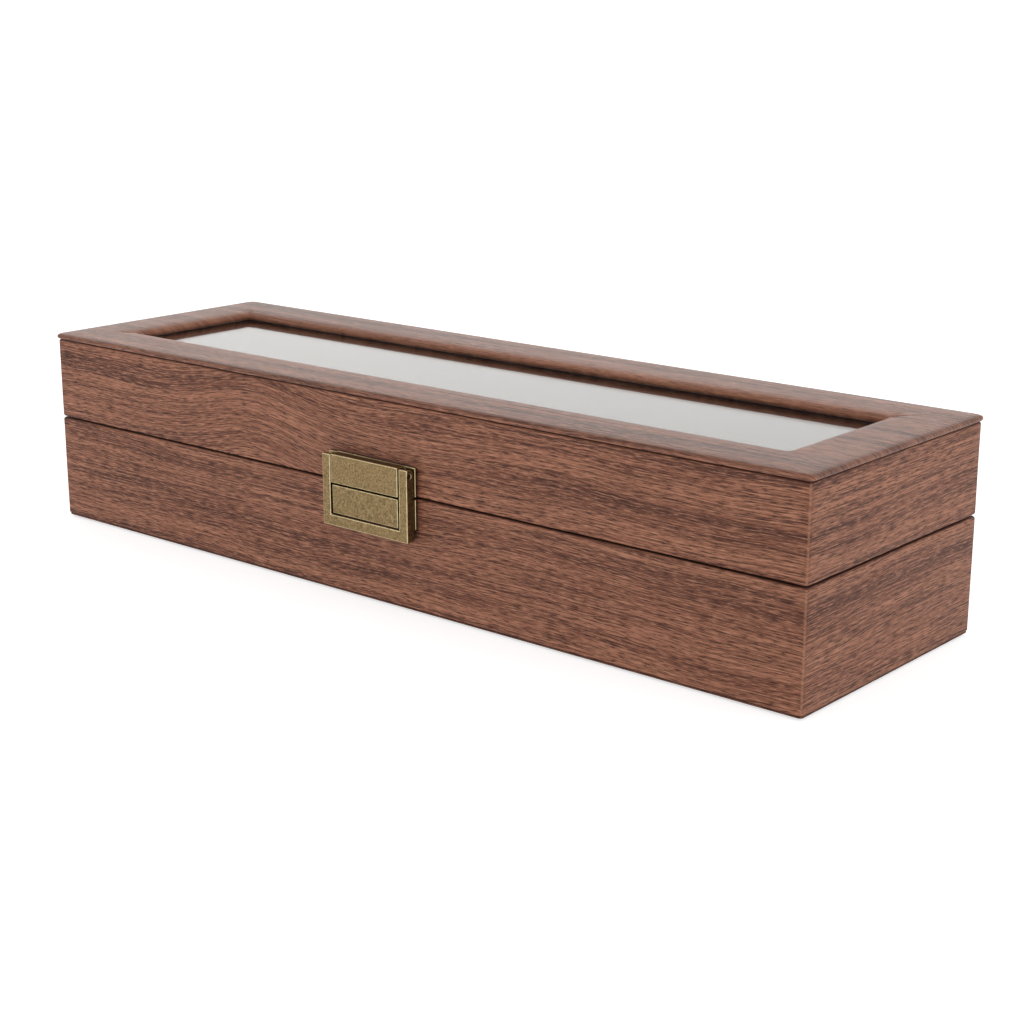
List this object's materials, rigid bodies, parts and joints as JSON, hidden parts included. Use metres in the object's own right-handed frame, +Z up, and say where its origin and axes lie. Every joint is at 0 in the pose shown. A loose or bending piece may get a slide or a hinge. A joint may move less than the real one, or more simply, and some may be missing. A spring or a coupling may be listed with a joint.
{
  "type": "watch box",
  "caption": "Long low wood-grain wrapped box with a window framed in its hinged lid, a framed brass bail clasp, and lined compartments holding lift-out cushions.",
  "frame": {"origin": "centre of the box's underside, midway between its ends and between its front and back walls, on the surface that it stands on", "axes": "+X along the box's length to its right-hand end as seen from the front, +Y from the front with the clasp to the back with the hinges, +Z up"},
  "size_m": [0.3368, 0.1103, 0.0724],
  "materials": {
    "wood_grain_wrap": "satin",
    "fibreboard": "matte",
    "antique_brass": "satin",
    "window": "gloss",
    "lining_velvet": "matte",
    "cushion_velvet": "matte",
    "felt": "matte",
    "foam": "matte"
  },
  "bodies": {
    "base": {"base_back_wall": "fibreboard", "base_front_wall": "fibreboard", "base_left_wall": "fibreboard", "base_right_wall": "fibreboard", "base_wrap": "wood_grain_wrap", "bottom_board": "wood_grain_wrap", "bottom_felt": "felt", "catch_plate": "antique_brass", "catch_screw_1": "antique_brass", "catch_screw_2": "antique_brass", "divider_1": "lining_velvet", "divider_2": "lining_velvet", "divider_3": "lining_velvet", "divider_4": "lining_velvet", "divider_5": "lining_velvet", "floor_board": "fibreboard", "hinge_base_leaf_left": "antique_brass", "hinge_base_leaf_right": "antique_brass", "hinge_base_screw_left_1": "antique_brass", "hinge_base_screw_left_2": "antique_brass", "hinge_base_screw_right_1": "antique_brass", "hinge_base_screw_right_2": "antique_brass", "hinge_pin_left": "antique_brass", "hinge_pin_right": "antique_brass", "tray_lining": "lining_velvet"},
    "lid": {"clasp_lid_plate": "antique_brass", "clasp_lid_screw_1": "antique_brass", "clasp_lid_screw_2": "antique_brass", "clasp_pin_left": "antique_brass", "clasp_pin_right": "antique_brass", "frame_back_strip": "fibreboard", "frame_cover": "wood_grain_wrap", "frame_foam": "foam", "frame_front_strip": "fibreboard", "frame_left_strip": "fibreboard", "frame_right_strip": "fibreboard", "hinge_lid_leaf_left": "antique_brass", "hinge_lid_leaf_right": "antique_brass", "hinge_lid_screw_left_1": "antique_brass", "hinge_lid_screw_left_2": "antique_brass", "hinge_lid_screw_right_1": "antique_brass", "hinge_lid_screw_right_2": "antique_brass", "lid_back_wall": "fibreboard", "lid_front_wall": "fibreboard", "lid_left_wall": "fibreboard", "lid_lining": "lining_velvet", "lid_right_wall": "fibreboard", "lid_wrap": "wood_grain_wrap", "window_bezel": "lining_velvet", "window_pane": "window"},
    "bail": {"clasp_bail": "antique_brass"},
    "cushion_1_body": {"cushion_1": "cushion_velvet"},
    "cushion_2_body": {"cushion_2": "cushion_velvet"},
    "cushion_3_body": {"cushion_3": "cushion_velvet"},
    "cushion_4_body": {"cushion_4": "cushion_velvet"},
    "cushion_5_body": {"cushion_5": "cushion_velvet"},
    "cushion_6_body": {"cushion_6": "cushion_velvet"}
  },
  "joints": [
    {"name": "lid_hinge", "type": "hinge", "parent": "base", "child": "lid", "pos_m": [0, 0.0523, 0.03955], "axis": [-1, 0, 0], "range_deg": [0, 95]},
    {"name": "clasp_bail_hinge", "type": "hinge", "parent": "lid", "child": "bail", "pos_m": [0, -0.05325, 0.0473], "axis": [-1, 0, 0], "range_deg": [0, 92]},
    {"name": "cushion_1_lift", "type": "slide", "parent": "base", "child": "cushion_1_body", "axis": [0, 0, 1], "range_m": [0, 0.022]},
    {"name": "cushion_2_lift", "type": "slide", "parent": "base", "child": "cushion_2_body", "axis": [0, 0, 1], "range_m": [0, 0.022]},
    {"name": "cushion_3_lift", "type": "slide", "parent": "base", "child": "cushion_3_body", "axis": [0, 0, 1], "range_m": [0, 0.022]},
    {"name": "cushion_4_lift", "type": "slide", "parent": "base", "child": "cushion_4_body", "axis": [0, 0, 1], "range_m": [0, 0.022]},
    {"name": "cushion_5_lift", "type": "slide", "parent": "base", "child": "cushion_5_body", "axis": [0, 0, 1], "range_m": [0, 0.022]},
    {"name": "cushion_6_lift", "type": "slide", "parent": "base", "child": "cushion_6_body", "axis": [0, 0, 1], "range_m": [0, 0.022]}
  ]
}
